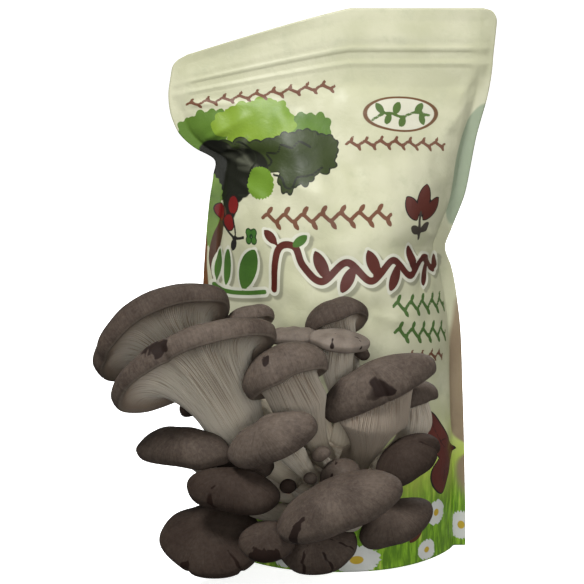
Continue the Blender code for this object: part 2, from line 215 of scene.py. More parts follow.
def makeFlesh():
    fin = Finish("mushroomFlesh", flesh["capMid"], 0.7)
    where = fin.place()
    grain = fin.attribute("grain", "Vector")
    zone = fin.attribute("zone")
    down = fin.attribute("down")
    cloud = fin.noise(where, flesh["cloudScale"], 3.0)
    streak = fin.noise(grain, 1.0, 5.0, 0.6)
    speck = fin.noise(where, flesh["speckScale"], 2.0)
    mottle = fin.noise(where, flesh["mottleScale"], 6.0, 0.7, 0.4)
    parts = [fin.times(part, share) for part, share in zip((cloud, streak, mottle), flesh["toneShares"])]
    tone = fin.math("ADD", fin.math("ADD", parts[0], parts[1]), parts[2])
    cap = fin.mix(fin.ramp(tone, 0.36, 0.52), flesh["capDark"], flesh["capMid"])
    cap = fin.mix(fin.ramp(tone, 0.47, 0.66), cap, flesh["capLight"])
    cap = fin.mix(fin.times(fin.ramp(speck, 0.58, 0.8), 0.4), cap, flesh["capLight"])
    cap = fin.mix(fin.attribute("pale"), cap, flesh["capPale"])
    # gills: painted shade in the valleys between them and by the margin under the rolled rim, pale on the
    # crests and towards the stem; gill brown also colours their streaks
    under = fin.mix(fin.ramp(down, -0.05, 0.5), flesh["gillBrownAndShade"], flesh["gillPale"])
    under = fin.mix(fin.ramp(down, 1.0, 1.6), under, flesh["stemPale"])
    valleyShade = fin.times(fin.ramp(fin.attribute("valley"), 0.45, 1.0), 0.7)
    under = fin.mix(valleyShade, under, flesh["gillValleyShade"])
    under = fin.mix(fin.times(fin.ramp(streak, 0.5, 0.3), 0.5), under, flesh["gillBrownAndShade"])
    color = fin.mix(zone, cap, under)
    color = fin.mix(fin.times(fin.attribute("rimLine"), 0.6), color, flesh["rim"])
    color = fin.mix(fin.ramp(fin.attribute("bruise"), 0.35, -0.25), color, flesh["bruise"])
    # painted shade: shaded caps are darkened towards the bruise colour, shaded gills and stems towards gill
    # brown, and their gloss is lowered
    paintedShade = fin.attribute("paintedShade")
    color = fin.mix(paintedShade, color, fin.mix(zone, flesh["bruise"], flesh["gillBrownAndShade"]))
    fin.set("Base Color", color)
    dull, smooth = flesh["roughness"]
    rough = fin.node("MapRange", {"Value": tone, "From Min": 0.3, "From Max": 0.7, "To Min": dull,
                                  "To Max": smooth})
    fin.set("Roughness", rough.outputs[0])
    fin.set("Specular IOR Level", fin.times(fin.math("SUBTRACT", 1.0, paintedShade), flesh["specular"]))
    fin.set("Subsurface Weight", flesh["subsurface"])
    fin.set("Subsurface Radius", (0.6, 0.4, 0.25))
    fin.set("Subsurface Scale", 0.004)
    height = fin.math("ADD", fin.times(streak, 0.6), fin.times(speck, 0.25))
    fin.bump(height, flesh["bumpDepth"], flesh["bumpStrength"])
    return fin.material


# Directions and millimetres. neck is counted from the middle of the cluster's foot to where stem and
# cap meet; bud is the direction of the root on the foot; up and out turn the cap; reach, back and half
# are its size ahead of, behind and beside the stem; arm is the stem's way into the cap, join how far up
# it the gills end. A notch: degrees, width, depth. A bruise: degrees, how far in from the margin, half
# width, half depth, tilt. paintedShade and paintedUnderShade are painted shade: they darken the cap and
# what lies under it where the mushroom lies in shade. pale lightens the cap.
mushrooms = {
    "mushroom_upper_left_back": dict(
        neck=(-87, 0, 80), bud=(-17, 3, 20), up=(-0.40, 0.60, 0.68), out=(-0.35, -0.7, 0.6), reach=29,
        back=20, half=39, stem=(5.5, 11), dome=13.4, rim=6.5, droop=7, join=0.6, arm=(-0.5, -0.25, 0.85),
        notches=[(300, 9, 0.05)], paintedShade=0.42, paintedUnderShade=0.1),
    "mushroom_upper_left_front": dict(
        neck=(-68, -28, 67), bud=(-22, -4, 8), up=(-0.36, 0.55, 0.75), out=(-0.35, -0.75, 0.55), reach=33,
        back=22, half=43, stem=(8, 16), dome=11, rim=6.5, droop=4, join=0.6, arm=(-0.65, -0.35, 0.7),
        notches=[(352, 4, 0.06)],
        bruises=[(350, 1.6, 3.4, 4.4, 25), (342, 3.6, 2.8, 2.2, 10), (75, 5, 3.2, 2.2, 20)], fan=0.25,
        paintedShade=0.12, paintedUnderShade=0.1),
    "mushroom_bud_top_left": dict(
        neck=(-42, 1, 82), bud=(-7, 6, 25), up=(-0.38, 0.55, 0.75), out=(0.1, -0.7, 0.6), reach=11, back=7,
        half=14, stem=(2.6, 3.6), dome=7, rim=4),
    "mushroom_centre": dict(
        neck=(-23, -39, 64), bud=(-4, -11, 15), up=(-0.36, 0.36, 0.86), out=(-0.15, -0.9, 0.25), reach=20,
        back=16, half=22, stem=(4.5, 9.5), dome=13.4, rim=7, join=0.72, arm=(-0.45, -0.1, 1),
        bruises=[(346, 3, 2.0, 1.8, 0)], fan=0.75, paintedUnderShade=0.5),
    "mushroom_centre_behind": dict(
        neck=(-20, -12, 77), bud=(-3, 0, 25), up=(0, -0.1, 1), out=(0, -1, 0), reach=10, back=9, half=14,
        stem=(3.5, 4.5), dome=4, rim=3, pale=0.3),
    "mushroom_top_back": dict(
        neck=(3, 2, 82), bud=(5, 8, 25), up=(-0.32, 0.55, 0.78), out=(-0.15, -0.75, 0.6), reach=14,
        back=13, half=17, stem=(4, 6), dome=11, rim=4.5, fan=0.3, paintedShade=0.42, join=0.7, paintedUnderShade=0.4),
    "mushroom_top_front": dict(
        neck=(3, -18, 76), bud=(5, -3, 25), up=(0.12, -0.15, 1), out=(0.2, -1, 0), reach=12, back=11,
        half=15, stem=(4, 7), dome=4.6, rim=3.2,
        bruises=[(330, 3, 0.35, 2.4, 15), (45, 3, 0.35, 1.8, -20)], pale=0.45, fan=0.3, join=0.72,
        paintedUnderShade=0.3),
    "mushroom_bud_top_right": dict(
        neck=(14, -2, 67), bud=(17, 5, 19), up=(0.5, -0.3, 0.8), out=(0.8, -0.5, 0), reach=5, back=4,
        half=5, stem=(3, 3.6), dome=2.4, rim=2, paintedShade=0.6),
    "mushroom_right": dict(
        neck=(23, -31, 54), bud=(11, -10, 13), up=(-0.42, -0.08, 0.9), out=(0.15, -0.9, -0.15), reach=10,
        back=14, half=30, stem=(6, 13), dome=13.4, rim=6, join=0.66, arm=(0.25, -0.1, 1),
        notches=[(4, 2.5, 0.09)],
        bruises=[(1, 0.3, 2.4, 1.5, 6), (358, 1.2, 1.2, 1.2, 0), (7, -0.8, 1.2, 1.4, 0)], fan=0.6,
        paintedUnderShade=0.75, paintedShade=0.2),
    "mushroom_right_back": dict(
        neck=(43, -8, 44), bud=(23, 1, 9), up=(-0.3, 0.2, 0.9), out=(0.2, -0.95, 0.2), reach=10, back=9,
        half=12, stem=(4, 8), dome=8.5, rim=4, fan=0.3, paintedShade=0.35, join=0.7, paintedUnderShade=0.4),
    "mushroom_lower_right": dict(
        neck=(37, -28, 18), bud=(23, -8, 0), up=(-0.45, -0.42, 0.8), out=(0.35, -0.8, -0.25), reach=14,
        back=10, half=18, stem=(4.5, 5.5), dome=11, rim=5, arm=(0.5, -0.6, 0.6), notches=[(64, 7, 0.12)],
        bruises=[(59, 3, 1.7, 1.7, 0)], rimLight=0.6, paintedShade=0.7),
    "mushroom_bottom_right": dict(
        neck=(32, -24, -15), bud=(18, -6, -18), up=(-0.3, -0.5, 0.82), out=(0.3, -0.8, -0.4), reach=14,
        back=10, half=19, stem=(4.5, 5.5), dome=9.8, rim=5, paintedShade=0.5),
    "mushroom_front_right": dict(
        neck=(2, -60, 6), bud=(8, -14, -10), up=(-0.33, -0.50, 0.80), out=(0.2, -0.82, -0.45), reach=18,
        back=12, half=32, stem=(6, 8), dome=12.2, rim=6, bruises=[(308, 1, 2.6, 6.5, -15)], rimLight=0.6,
        paintedShade=0.25),
    "mushroom_bottom_centre": dict(
        neck=(-7, -24, -26), bud=(3, -6, -24), up=(-0.2, -0.6, 0.77), out=(0, -0.75, -0.6), reach=18,
        back=10, half=20, stem=(4.5, 6), dome=9.8, rim=5, arm=(-0.1, -0.8, 0.35),
        bruises=[(338, 1, 0.6, 4, 10), (20, 1, 0.5, 3.2, 0), (70, 4, 0.6, 3.2, 0)], paintedShade=0.5),
    "mushroom_bottom_front": dict(
        neck=(-32, -52, -14), bud=(-10, -14, -10), up=(-0.1, -0.75, 0.65), out=(-0.1, -0.6, -0.75),
        reach=13, back=8, half=14, stem=(4, 5), dome=7.3, rim=4, arm=(-0.3, -0.8, -0.1),
        bruises=[(346, 1, 4.4, 3.6, 0), (20, 0.5, 3.4, 3, 0)], paintedShade=0.58),
    "mushroom_left": dict(
        neck=(-72, -24, 24), bud=(-25, -5, -4), up=(-0.12, -0.42, 0.9), out=(-0.35, -0.85, -0.4), reach=14,
        back=9, half=24, stem=(4.5, 5.5), dome=9.8, rim=5, notches=[(308, 20, -0.24)], paintedShade=0.35),
    "mushroom_front_left": dict(
        neck=(-29, -50, 36), bud=(-9, -14, 7), up=(-0.55, -0.45, 0.70), out=(-0.1, -0.85, -0.45), reach=15,
        back=9, half=25, stem=(4, 7), dome=11, rim=5),
    "mushroom_lower_left": dict(
        neck=(-48, -40, 7), bud=(-20, -10, -12), up=(-0.05, -0.5, 0.86), out=(-0.25, -0.85, -0.5),
        reach=15, back=9, half=24, stem=(4.5, 5.5), dome=11, rim=5, bruises=[(335, 1.5, 0.6, 3.4, 20)],
        paintedShade=0.72),
    "mushroom_bottom_left": dict(
        neck=(-57, -20, -19), bud=(-15, -4, -20), up=(-0.28, -0.55, 0.78), out=(-0.45, -0.7, -0.55),
        reach=30, back=14, half=28, stem=(5.5, 9), dome=9.8, rim=5,
        notches=[(351, 4, 0.04), (56, 3, 0.04)], bruises=[(351, 1, 3.2, 1.1, 0), (56, 1, 0.6, 4.4, 0)],
        paintedShade=0.72),
    "mushroom_inner_right": dict(
        neck=(4, -37, 14), bud=(9, -15, 2), up=(-0.42, -0.6, 0.68), out=(0.1, -0.65, -0.6), reach=11,
        back=7, half=11, stem=(3.2, 4.5), dome=6.1, rim=3,
        bruises=[(165, 5, 1.8, 0.9, 20), (325, 5, 1.8, 1.4, 0)], rimLight=1.0, paintedShade=0.25),
    "mushroom_inner_top": dict(
        neck=(-5, -37, 23), bud=(-2, -16, 9), up=(-0.5, -0.4, 0.75), out=(0, -0.8, -0.4), reach=4,
        back=3.5, half=5, stem=(1.7, 2.4), dome=3.7, rim=2),
    "mushroom_bud_centre": dict(
        neck=(-12, -43, 12), bud=(0, -16, -2), up=(0.3, -0.4, 0.85), out=(0.3, -0.9, 0), reach=3.4, back=3,
        half=3.6, stem=(2, 2.2), dome=3, rim=1.6, arm=(-0.5, -0.6, 0.6), paintedShade=0.3),
    "mushroom_bud_lower": dict(
        neck=(-22, -38, 7), bud=(-5, -15, -3), up=(-0.2, -0.6, 0.75), out=(0, -0.8, -0.5), reach=4,
        back=3.5, half=4.2, stem=(2, 2.4), dome=3.7, rim=1.8, paintedShade=0.8),
    "mushroom_inner_left": dict(
        neck=(-44, -24, 12), bud=(-14, -14, -3), up=(-0.25, -0.25, 0.93), out=(-0.2, -0.95, -0.2),
        reach=10, back=7, half=16, stem=(3.5, 5), dome=6.1, rim=3.5, paintedShade=0.6),
    "mushroom_bud_left": dict(
        neck=(-70, 4, 36), bud=(-25, 5, 6), up=(-0.2, 0.1, 0.95), out=(-0.7, -0.7, 0), reach=8, back=6,
        half=9, stem=(2.8, 3.6), dome=7.3, rim=3.5, paintedShade=0.75),
}
growth = {
    "gillSpacing": 1.2, "gillSamples": 6, "gillSway": 0.072, "gillDepth": 0.4, "gillGrowth": 0.024,
    "shortGills": (0.3, 0.62), "ridge": (1.0, 0.9, 0.55, 0.0, 0.55, 0.9), "outlineWander": 0.05,
    "marginWave": 0.7, "lift": 2.0, "domePower": 2.2, "domeRound": 0.62, "swell": 0.35, "roll": 0.45,
    "lipIn": 2.2, "lipUp": 2.0, "bark": 0.05, "stemHandle": 0.36, "bruiseJag": 0.5,
    "topRows": 20, "curlRows": 6, "underRows": 22, "stemRows": 16, "intoFoot": 3.0,
}
faraway, markReach = 99.0, 9.0  # a distance past everything, and how far around a mark it is measured
footLow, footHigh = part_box("cluster_foot")
footRadii = np.array([footHigh[0] - footLow[0], 33 * mm, footHigh[2] - footLow[2]]) / 2 / mm
footMiddle = np.array([(footLow[0] + footHigh[0]) / 2, footLow[1] + footRadii[1] * mm,
                       (footLow[2] + footHigh[2]) / 2]) / mm


# where a stem leaves the foot in direction bud, and the way it points there
def rootOnFoot(bud):
    ray = unit(np.asarray(bud, float) / footRadii)
    return footMiddle + ray * footRadii, unit(ray / footRadii)


# The whole skin of a mushroom as rings from the crown over the margin, under the rolled rim, along the
# gills and down the stem. Cap: crown + (outline - crown) r, raised by dome (1 - r^2.2)^0.62. Rim: a
# quarter ellipse turning under. Gills: a Bezier from the lip to the stem, moved along its normal by
# ridges, every second one short. Stem: rings carried along a Bezier from root to neck.
def mushroomSkin(name, shape, seed):
    g = growth
    reach, back, half, rim = (float(shape[k]) for k in ("reach", "back", "half", "rim"))
    length = (reach + back) / 2
    size = (length + half) / 2
    gills = 2 * max(8, round(np.pi * size / g["gillSpacing"]))
    columns = gills * g["gillSamples"]
    angle = np.arange(columns) * fullTurn / columns
    angle = angle + g["gillSway"] * wander(angle, seed + 5, 5, 16)
    n = unit(shape["up"])
    d = unit(np.array(shape["out"], float) - np.dot(shape["out"], n) * n)
    s = np.cross(n, d)
    neck = footMiddle + np.array(shape["neck"], float)
    root, rootDir = rootOnFoot(shape["bud"])

    outline = 1 + g["outlineWander"] * wander(angle, seed)
    for at, width, depth in shape.get("notches", ()):
        away = (angle - np.radians(at) + np.pi) % fullTurn - np.pi
        outline -= depth * np.exp(-(away / np.radians(width)) ** 2)
    sag = -shape.get("droop", 0.0) * np.sin(angle) ** 2
    sag = sag + g["marginWave"] * (size / 25) * wander(angle, seed + 1, 2, 8)
    crown = neck + d * (reach - back) / 2 * 0.7
    plan = neck + np.outer((reach - back) / 2 + length * np.cos(angle) * outline, d)
    plan = plan + np.outer(half * np.sin(angle) * outline, s)
    inward = unit(crown - plan)
    radius = np.linalg.norm(crown - plan, axis=1)
    lift = g["lift"]

    share = np.sin(np.linspace(0.05, 1, g["topRows"]) * np.pi / 2)[:, None]
    far = share ** g["domePower"]
    height = lift + shape["dome"] * (1 - far) ** g["domeRound"] + sag * far
    flat = crown + (plan - crown) * share[..., None]
    height = height + g["swell"] * (size / 25) * ripples(flat, size * 0.7, seed + 2) * (1 - share ** 4)
    top = flat + height[..., None] * n
    margin = plan + np.outer(lift + sag, n)
    roll = rim * g["roll"]
    turn = (np.linspace(0, np.pi / 2, g["curlRows"] + 1)[1:])[:, None, None]
    curl = margin + inward * roll * (1 - np.cos(turn)) - n * rim * np.sin(turn)

    edge = margin + inward * (roll + g["lipIn"]) - n * (rim - g["lipUp"])
    stemLow, stemHigh = shape["stem"]
    join = shape.get("join", 0.62)
    arm = unit(shape.get("arm", n + 0.35 * d))
    span = np.linalg.norm(neck - root) * g["stemHandle"]
    t = np.linspace(join, 0, g["stemRows"] + 1)
    handles = (root, root + rootDir * span, neck - arm * span, neck)
    path = bezier(*handles, t)
    along = unit(bezier(*handles, t + 0.01) - bezier(*handles, t - 0.01))
    across = unit(s - (along @ s)[:, None] * along)
    first = np.cross(across, along)
    thick = stemLow + (stemHigh - stemLow) * join * (t / join) ** 1.5
    thick = thick + 0.35 * stemLow * np.exp(-(t / 0.1) ** 2)
    bark = 1 + g["bark"] * wander(angle, seed + 3, 2, 9)
    widen = 1 + shape.get("fan", 0.15) * (t / join) ** 3
    ringShape = (np.cos(angle) * bark)[None, :, None] * first[:, None] + \
        (np.sin(angle) * bark)[None, :, None] * (across * widen[:, None])[:, None]
    stem = path[:, None] + thick[:, None, None] * ringShape
    shoulder = stem[0]
    gap = np.linalg.norm(shoulder - edge, axis=1, keepdims=True)
    v = np.linspace(0, 1, g["underRows"]) ** 1.15
    under = bezier(edge[None], (edge + (inward * 0.75 + n * 0.65) * gap * 0.32)[None],
                   (shoulder + along[0] * gap * 0.45)[None], shoulder[None], v[:, None] + 0 * angle)
    buried = (stem[-1] - rootDir * g["intoFoot"])[None]
    skin = np.concatenate([top, curl, under, stem[1:], buried])

    # how far down: 0 on the cap, 0 to 1 from lip to shoulder, 1 to 2 down the stem
    cap = len(top) + len(curl)
    down = np.concatenate([np.zeros(cap), v, 2 - t[1:] / join, [2.0]])
    isUnder = (np.arange(len(skin)) >= cap).astype(float)
    rng = np.random.default_rng(seed + 4)
    ordinal = np.arange(columns) // g["gillSamples"]
    within = np.arange(columns) % g["gillSamples"]
    ridge = np.array(g["ridge"])[within]
    whole = (ordinal % 2 == 0)[None]
    ends = rng.uniform(*g["shortGills"], gills)[ordinal][None]
    strength = rng.uniform(0.75, 1.1, gills)[ordinal][None]
    fade = rng.uniform(-0.25, 0.25, gills)[ordinal][None]
    lower = down[:, None] + fade
    rise = step(down, 0.0, 0.14)[:, None] * (1 - 0.6 * step(lower, 0.4, 1.0)) * (1 - step(lower, 1.0, 1.9))
    reachOut = 1 - step(down[:, None], ends - 0.12, ends + 0.06)
    crest = ridge[None] * strength * np.where(whole, 1, reachOut)
    depth = (g["gillDepth"] + g["gillGrowth"] * size) * rise * isUnder[:, None]
    rowWay = np.gradient(skin, axis=0)
    columnWay = np.roll(skin, -1, axis=1) - np.roll(skin, 1, axis=1)
    outward = unit(np.cross(rowWay, columnWay) + 1e-9)
    skin = skin + outward * (depth * (crest - 0.6))[..., None]

    # distance over the skin to the margin, positive on the cap; it places bruises
    over = np.concatenate([radius[None] * (1 - share), -turn[:, :, 0] * rim * 0.8 + 0 * angle])
    over = np.concatenate([over, np.full((len(skin) - cap, columns), -faraway)])
    bruise = np.full(over.shape, markReach)
    for at, inFrom, wide, deep, tilt in shape.get("bruises", ()):
        away = ((angle - np.radians(at) + np.pi) % fullTurn - np.pi) * radius + 0 * over
        a, b = away, over - inFrom
        c, e = np.cos(np.radians(tilt)), np.sin(np.radians(tilt))
        a, b = (a * c + b * e) / wide, (b * c - a * e) / deep
        off = ((np.abs(a) ** 3 + np.abs(b) ** 3) ** (1 / 3) - 1) * min(wide, deep)
        jag = g["bruiseJag"] * ripples(np.stack([away, over], -1), 3.5, seed + 9)
        bruise = np.minimum(bruise, off + jag)
    rimLine = np.zeros(over.shape)
    rimLine[cap - 2:cap] = shape.get("rimLight", 0.35)
    pale = np.zeros(over.shape)
    pale[:cap] = shape.get("pale", 0.0) * (0.85 + 0.15 * ripples(skin[:cap], 7, seed + 11))
    # painted shade, one amount for each mushroom's cap and one for what lies under it
    paintedShade = np.where(isUnder > 0, shape.get("paintedUnderShade", 0.25), shape.get("paintedShade", 0.0))
    rowStep = np.linalg.norm(np.diff(skin, axis=0), axis=2).mean(1)
    arc = np.concatenate([[0], np.cumsum(rowStep)])
    around = size * 1.6
    grain = np.stack([np.cos(angle)[None] * around + 0 * over, np.sin(angle)[None] * around + 0 * over,
                      arc[:, None] * 0.06 + seed + 0 * over], -1)
    values = {
        "zone": isUnder[:, None] + 0 * over, "down": down[:, None] + 0 * over,
        "valley": (1 - crest) * rise * isUnder[:, None], "bruise": bruise, "rimLine": rimLine,
        "pale": np.clip(pale, 0, 1), "paintedShade": paintedShade[:, None] + 0 * over, "grain": grain,
    }
    poles = np.array([crown + n * (lift + shape["dome"]), root - rootDir * (g["intoFoot"] + 1)])
    return skin, poles, values


def makeMushrooms(material):
    triangles = 0
    for seed, (name, shape) in enumerate(mushrooms.items()):
        skin, poles, values = mushroomSkin(name, shape, seed * 20 + 7)
        piece = gridPiece(name.replace("_", "-") + "-skin", skin * mm, material, wrap=True,
                          poles=poles * mm, values=values)
        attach(piece, "root")
        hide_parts(name)
        triangles += 2 * skin.shape[0] * skin.shape[1]
    print("mushrooms grown:", len(mushrooms), "with about", triangles, "triangles")


foot = {"rows": 60, "columns": 120, "lump": 2.6, "neckShare": 0.767, "dark": (0.2, 0.16, 0.115),
        "light": (0.42, 0.375, 0.29)}


# A head turned about a line along Y: radius sin(a), depth cos(a), swollen where each stem leaves it,
# then a neck of constant radius through the film.
def makeFoot(material):
    a = np.radians(np.linspace(4, 118, foot["rows"]))[:, None]
    angle = (np.arange(foot["columns"]) * fullTurn / foot["columns"])[None]
    way = np.stack([np.sin(a) * np.cos(angle), -np.cos(a) + 0 * angle, np.sin(a) * np.sin(angle)], -1)
    swell = np.zeros(way.shape[:2])
    for shape in mushrooms.values():
        to = unit(np.array(shape["bud"], float) / footRadii)
        swell = np.maximum(swell, np.exp(-(1 - way @ to) / 0.03) * shape["stem"][0] / 5)
    grow = 1 + foot["lump"] * (swell - 0.4) / footRadii[0] + 0.015 * ripples(way * 20, 9, 3)
    head = footMiddle + way * footRadii * grow[..., None]
    neckRadius = footRadii[0] * foot["neckShare"]
    neckDepth = np.linspace(footMiddle[1] + footRadii[1] * 0.7, footHigh[1] / mm, 8)[:, None]
    neck = np.stack([footMiddle[0] + neckRadius * np.cos(angle) + 0 * neckDepth, neckDepth + 0 * angle,
                     footMiddle[2] + neckRadius * np.sin(angle) + 0 * neckDepth], -1)
    skin = np.concatenate([head, neck])
    poles = np.array([(footMiddle[0], depth / mm, footMiddle[2]) for depth in (footLow[1], footHigh[1])])
    values = {"grain": skin * 0.12}
    piece = gridPiece("cluster-foot-flesh", skin * mm, material, wrap=True, poles=poles * mm, values=values,
                      flip=True)
    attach(piece, "root")
    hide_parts("cluster_foot")
    print("foot made, with", skin.shape[0], "rings")


def makeFootFlesh():
    fin = Finish("footFlesh", foot["light"], 0.7)
    streak = fin.noise(fin.attribute("grain", "Vector"), 2.0, 5.0)
    fin.set("Base Color", fin.mix(fin.ramp(streak, 0.35, 0.65), foot["dark"], foot["light"]))
    fin.bump(streak, 0.001, 0.6)
    return fin.material


# Millimetres. profile: height, half width left, half width right, bulge of each side. front and back:
# columns and rows of each film's grid. The films part around the zip, each by seamOffset at the
# heights seamRise. hole: where the film was cut for the cluster, its grid drawn out around it.
pouch = {
    "profile": [
        (0, 73.5, 74, 46), (6, 73.5, 74, 46), (40, 73, 73, 48.5), (90, 73, 71, 48.5), (135, 74, 68, 47),
        (160, 73, 63.5, 45), (171, 72.2, 60, 43.5), (180, 71.5, 63, 41.5), (200, 69.5, 70.3, 35),
        (214, 67.5, 73, 29), (224, 67.5, 74.7, 24), (231, 77, 76, 20.5), (240, 85, 78.3, 15.5),
        (252, 90, 81.5, 9.5), (268, 92.5, 84, 3), (276, 92.5, 84.5, 2),
        (281, 92, 85, 1.8), (300, 90, 86.5, 0.8)],
    "front": (174, 250), "back": (120, 170), "thickness": 0.3, "seal": 7.0, "corner": 8.0,
    "seamRise": (0, 258, 267, 284, 293, 300), "seamOffset": (0.5, 0.5, 1.85, 1.85, 0.55, 0.55),
    "zipRidges": (270.5, 278.5), "zipHeight": 0.95, "zipWidth": 0.95, "flutter": 1.6, "creaseGain": 1.5,
    "slumpFrom": 7.0, "slumpDrop": 27.0, "slumpBack": 20.0,
    "hole": (-4.0, 57.0), "holeRadius": 19.6, "holeSeed": 4.5, "holeReach": 42.0,
}
# across and height of each end, then how proud the crease stands and how wide it is
frontCreases = [
    (-66, 224, -40, 216, 1.8, 2.6), (-66, 226, -46, 236, 1.5, 2.4), (-64, 220, -50, 204, -1.6, 3.0),
    (-60, 214, -38, 200, 1.0, 2.4), (-72, 236, -46, 250, 1.4, 3.4), (-58, 226, -30, 226, -1.0, 3.0),
    (-80, 262, -40, 254, 0.9, 3.2), (-30, 262, 8, 250, 0.5, 4.5),
    (59, 171, 34, 165, 1.8, 2.6), (59, 174, 40, 186, 1.5, 2.6), (59, 169, 44, 151, -1.5, 3.0),
    (60, 168, 30, 176, -0.9, 2.6), (62, 160, 56, 130, 0.9, 2.4), (66, 198, 58, 182, 1.0, 2.4),
    (78, 268, 62, 246, 1.3, 3.6), (76, 262, 70, 206, 0.8, 2.6), (70, 250, 50, 222, 0.6, 3.4),
    (-68, 190, -64, 130, 0.7, 2.4), (-62, 150, -58, 96, 0.5, 2.8), (62, 110, 60, 50, 0.6, 2.6),
    (-20, 206, 24, 196, 0.35, 5.0), (-10, 176, 30, 184, 0.3, 5.0), (20, 140, 52, 128, 0.4, 4.0),
    (-50, 20, 50, 14, 0.4, 2.2), (30, 40, 60, 22, 0.5, 3.0),
]
backCreases = [
    (-62, 222, -20, 214, 1.4, 3.0), (-62, 226, -34, 244, 1.2, 3.0), (58, 172, 24, 160, 1.4, 3.0),
    (58, 176, 30, 196, 1.2, 3.0), (-40, 180, 20, 150, 0.5, 5.0), (-58, 120, -50, 60, 0.8, 3.0),
    (54, 110, 50, 40, 0.8, 3.0), (-30, 90, 36, 70, 0.4, 5.0),
]


# the top left corner sags: back by the square of how far left, down a little more gently
def slump(points):
    p = pouch
    x, y, z = np.moveaxis(points, -1, 0)
    side = np.clip((p["slumpFrom"] - x) / 96, 0, 1.05)
    height = np.clip(z / 150 - 1, 0, 1) ** 2
    flutter = p["flutter"] * np.sin(x / 26 + 0.8) * np.clip((z - 284) / 16, 0, 1) ** 2
    return np.stack([x, y + p["slumpBack"] * side ** 2 * height + flutter,
                     z - p["slumpDrop"] * side ** 1.1 * height], -1)


# half width left, half width right and bulge at height z
def pouchSize(z):
    table = np.array(pouch["profile"], float)
    return [through(z, table[:, 0], table[:, i]) for i in (1, 2, 3)]


# One film: flat seals at the sides and a rounded belly between, depth = bulge (1 - belly^2.3)^0.8,
# facing -Y or +Y. Gives its grid, the way along it from its middle, the height, and the way in from
# its right edge, the last three before the slump.
def filmSheet(columns, rows, lines, seed, facing, hole):
    p = pouch
    top = p["profile"][-1][0]
    closed = p["seamOffset"][0]
    u, z = np.meshgrid(np.linspace(-1, 1, columns), np.linspace(0, top, rows))
    left, right, bulge = pouchSize(z)
    if hole:
        x = u * np.where(u < 0, left, right)
        off = np.hypot(x - p["hole"][0], z - p["hole"][1])
        far = p["holeReach"]
        spread = p["holeRadius"] + (off - p["holeSeed"]) * (far - p["holeRadius"]) / (far - p["holeSeed"])
        grow = np.where(off < far, spread / np.maximum(off, 0.1), 1)
        x, z = p["hole"][0] + (x - p["hole"][0]) * grow, p["hole"][1] + (z - p["hole"][1]) * grow
        left, right, bulge = pouchSize(z)
        u = x / np.where(x < 0, left, right)
    rounded = np.clip((z - (top - p["corner"])) / p["corner"], 0, 1)
    half = np.where(u < 0, left, right) - p["corner"] * (1 - np.sqrt(1 - rounded ** 2))
    belly = np.clip(np.abs(u) * half / (half - p["seal"]), 0, 1)
    depth = np.maximum(bulge, 0) * (1 - belly ** 2.3) ** 0.8
    x = u * half
    body = (1 - step(belly, 0.93, 1.0)) * (1 - step(z, 246, 264))
    flat = np.stack([x, z * 0.7], -1)
    relief = body * (0.75 * ripples(flat, 46, seed) + 0.2 * ripples(flat, 15, seed + 1))
    for x0, z0, x1, z1, proud, wide in lines:
        run = np.array([x1 - x0, z1 - z0], float)
        t = np.clip(((x - x0) * run[0] + (z - z0) * run[1]) / (run @ run), 0, 1)
        away = np.hypot(x - x0 - t * run[0], z - z0 - t * run[1])
        bend = p["creaseGain"] * proud * np.exp(-(away / (wide * (0.6 + 0.8 * t))) ** 1.5)
        relief = relief + bend * (1 - 0.85 * t ** 2) * (1 - step(belly, 0.88, 1.0))
    crushed = step(belly, 0.9, 0.97)
    for at in p["zipRidges"]:
        ridge = np.exp(-((z - at) / (p["zipWidth"] + 1.2 * crushed)) ** 2)
        relief = relief + p["zipHeight"] * ridge * (1 - 0.5 * crushed) * (1 - step(np.abs(u), 0.96, 0.99))
    relief = relief + 0.25 * (1 - step(belly, 0.985, 0.999)) * step(z, 2, 6)
    seam = np.interp(z, p["seamRise"], p["seamOffset"])
    seam = closed + (seam - closed) * (1 - step(np.abs(u), 0.92, 0.975))
    points = np.stack([x, -depth - seam, z], -1)
    outward = unit(np.cross(np.gradient(points, axis=1), np.gradient(points, axis=0)))
    points = points + outward * (relief * step(z, 0, 5))[..., None]
    points[..., 1] *= -facing
    along = np.cumsum(np.linalg.norm(np.diff(points, axis=1, prepend=points[:, :1]), axis=2), axis=1)
    return slump(points), along - along[:, [columns // 2]], z, along[:, [-1]] - along


# Marks of the print, in millimetres along the film from its middle and up from the floor.
# blob: middle, radii, tilt, scallops and their depth. leaf: both tips and half width.
# stem: points of a smooth line, half width.
def blob(a, z, wide, tall, tilt=0, scallops=0, deep=0.0):
    return lambda s, h: blobDistance(s - a, h - z, wide, tall, np.radians(tilt), scallops, deep)


# how far outside a tilted ellipse a point is; the ellipse swells between its scallops by deep
def blobDistance(s, h, wide, tall, tilt, scallops, deep):
    a = (s * np.cos(tilt) + h * np.sin(tilt)) / wide
    b = (h * np.cos(tilt) - s * np.sin(tilt)) / tall
    edge = 1 + deep * (np.abs(np.sin(scallops * np.arctan2(b, a) / 2)) - 0.6)
    return (np.hypot(a, b) - edge) * min(wide, tall)


def blobs(*rows):
    return [blob(*row) for row in rows]


# how far outside a pointed oval a point is, the oval half (4 t (1 - t))^0.7 wide at t from tip to tip
def leaf(a0, z0, a1, z1, half):
    def distance(s, h):
        run = np.array([a1 - a0, z1 - z0], float)
        size = np.hypot(*run)
        t = ((s - a0) * run[0] + (h - z0) * run[1]) / size ** 2
        side = np.abs((h - z0) * run[0] - (s - a0) * run[1]) / size
        beyond = np.maximum(np.abs(t - 0.5) - 0.5, 0) * size
        belly = half * (4 * np.clip(t, 0, 1) * (1 - np.clip(t, 0, 1))) ** 0.7
        return np.hypot(np.maximum(side - belly, 0), beyond) + np.minimum(side - belly, 0)
    return distance


def leaves(*rows):
    return [leaf(*row) for row in rows]


